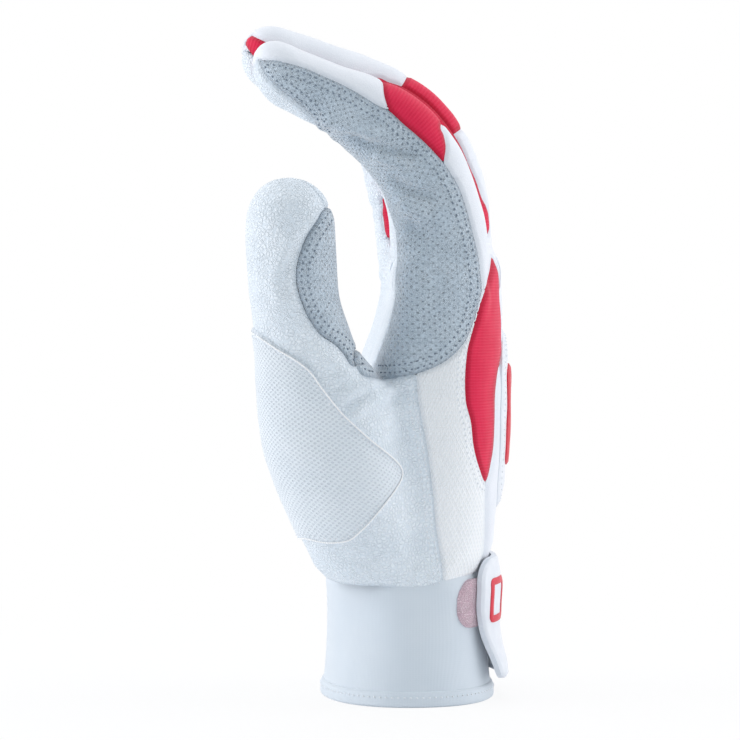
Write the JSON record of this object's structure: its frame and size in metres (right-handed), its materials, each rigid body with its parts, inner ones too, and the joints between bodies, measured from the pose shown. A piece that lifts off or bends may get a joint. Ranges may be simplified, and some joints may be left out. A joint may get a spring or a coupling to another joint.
{
  "type": "batting glove",
  "caption": "Right-hand batting glove in white and grey leather with red stretch panels, a knit cuff and a wrap-over closure tab, standing on its cuff with curled fingers.",
  "frame": {"origin": "under the middle of the whole glove, on the surface that the cuff hem stands on", "axes": "+Z from the cuff to the fingers, +X out of the back of the hand, +Y towards the little finger"},
  "size_m": [0.0794, 0.1048, 0.1961],
  "materials": {
    "white_leather": "fine grain, satin",
    "grey_leather": "perforated, satin",
    "dimpled_overlay": "fine dimples, satin",
    "red_stretch": "fine ribs, matte",
    "white_mesh": "diamond mesh, matte",
    "cuff_knit": "smooth knit, matte",
    "white_rubber": "satin",
    "red_rubber": "satin",
    "tape": "looped pile, matte"
  },
  "bodies": {
    "hand": {"cuff_band": "cuff_knit", "cuff_hem": "cuff_knit", "loop_patch": "tape", "tab_anchor": "white_rubber", "palm_panel": "white_leather", "backhand_panel": "white_leather", "backhand_overlay": "white_leather", "backhand_badge": "red_rubber", "outer_side_panel": "white_leather", "mesh_side_panel": "white_mesh", "stretch_side_panel": "red_stretch", "index_root_panel": "grey_leather", "thumb_base_panel": "white_leather", "thumb_base_overlay": "dimpled_overlay", "index_root_flex": "white_leather", "middle_root_flex": "white_leather", "ring_root_flex": "white_leather", "little_root_flex": "white_leather", "thumb_root_flex": "white_leather"},
    "index_lower": {"index_lower_palm": "grey_leather", "index_lower_back": "white_leather", "index_lower_outer_gusset": "red_stretch", "index_knuckle_flex": "red_stretch"},
    "index_tip": {"index_tip_palm": "grey_leather", "index_tip_back": "white_leather", "index_tip_outer_gusset": "red_stretch"},
    "middle_lower": {"middle_lower_palm": "white_leather", "middle_lower_back": "white_leather", "middle_lower_inner_gusset": "red_stretch", "middle_lower_outer_gusset": "red_stretch", "middle_knuckle_flex": "red_stretch"},
    "middle_tip": {"middle_tip_palm": "white_leather", "middle_tip_back": "white_leather", "middle_tip_inner_gusset": "red_stretch", "middle_tip_outer_gusset": "red_stretch"},
    "ring_lower": {"ring_lower_palm": "white_leather", "ring_lower_back": "white_leather", "ring_lower_inner_gusset": "red_stretch", "ring_lower_outer_gusset": "red_stretch", "ring_knuckle_flex": "red_stretch"},
    "ring_tip": {"ring_tip_palm": "white_leather", "ring_tip_back": "white_leather", "ring_tip_inner_gusset": "red_stretch", "ring_tip_outer_gusset": "red_stretch"},
    "little_lower": {"little_lower_palm": "white_leather", "little_lower_back": "white_leather", "little_lower_inner_gusset": "red_stretch", "little_knuckle_flex": "red_stretch"},
    "little_tip": {"little_tip_palm": "white_leather", "little_tip_back": "white_leather", "little_tip_inner_gusset": "red_stretch"},
    "thumb": {"thumb_grip_panel": "grey_leather", "thumb_back_panel": "white_leather", "thumb_front_panel": "white_leather"},
    "closure_tab": {"closure_tab": "white_rubber", "hook_patch": "tape", "tab_emblem": "red_rubber"}
  },
  "joints": [
    {"name": "index_root_bend", "type": "hinge", "parent": "hand", "child": "index_lower", "pos_m": [0.00226, -0.02181, 0.13039], "axis": [0, -1, 0], "range_deg": [-20, 20], "deforming": ["index_root_flex"]},
    {"name": "index_knuckle_bend", "type": "hinge", "parent": "index_lower", "child": "index_tip", "pos_m": [-0.00398, -0.02181, 0.15207], "axis": [0, -1, 0], "range_deg": [-40, 25], "deforming": ["index_knuckle_flex"]},
    {"name": "middle_root_bend", "type": "hinge", "parent": "hand", "child": "middle_lower", "pos_m": [0.00554, -0.00051, 0.13149], "axis": [0, -1, 0], "range_deg": [-20, 40], "deforming": ["middle_root_flex"]},
    {"name": "middle_knuckle_bend", "type": "hinge", "parent": "middle_lower", "child": "middle_tip", "pos_m": [-0.00054, -0.00051, 0.15704], "axis": [0, -1, 0], "range_deg": [-40, 45], "deforming": ["middle_knuckle_flex"]},
    {"name": "ring_root_bend", "type": "hinge", "parent": "hand", "child": "ring_lower", "pos_m": [0.00469, 0.02107, 0.12746], "axis": [0, -0.9997, 0.0262], "range_deg": [-20, 40], "deforming": ["ring_root_flex"]},
    {"name": "ring_knuckle_bend", "type": "hinge", "parent": "ring_lower", "child": "ring_tip", "pos_m": [0.00121, 0.02175, 0.1535], "axis": [0, -0.9997, 0.0262], "range_deg": [-40, 45], "deforming": ["ring_knuckle_flex"]},
    {"name": "little_root_bend", "type": "hinge", "parent": "hand", "child": "little_lower", "pos_m": [0.00305, 0.04154, 0.1214], "axis": [0, -0.9986, 0.0523], "range_deg": [-20, 40], "deforming": ["little_root_flex"]},
    {"name": "little_knuckle_bend", "type": "hinge", "parent": "little_lower", "child": "little_tip", "pos_m": [0.00119, 0.04274, 0.14419], "axis": [0, -0.9986, 0.0523], "range_deg": [-25, 45], "deforming": ["little_knuckle_flex"]},
    {"name": "thumb_opening", "type": "hinge", "parent": "hand", "child": "thumb", "pos_m": [-0.0087, -0.02626, 0.101], "axis": [0.3256, -0.9455, 0], "range_deg": [-15, 22], "deforming": ["thumb_root_flex"]},
    {"name": "tab_peel", "type": "hinge", "parent": "hand", "child": "closure_tab", "pos_m": [0.03288, 0.03226, 0.042], "axis": [0, 0, 1], "range_deg": [0, 110]}
  ]
}
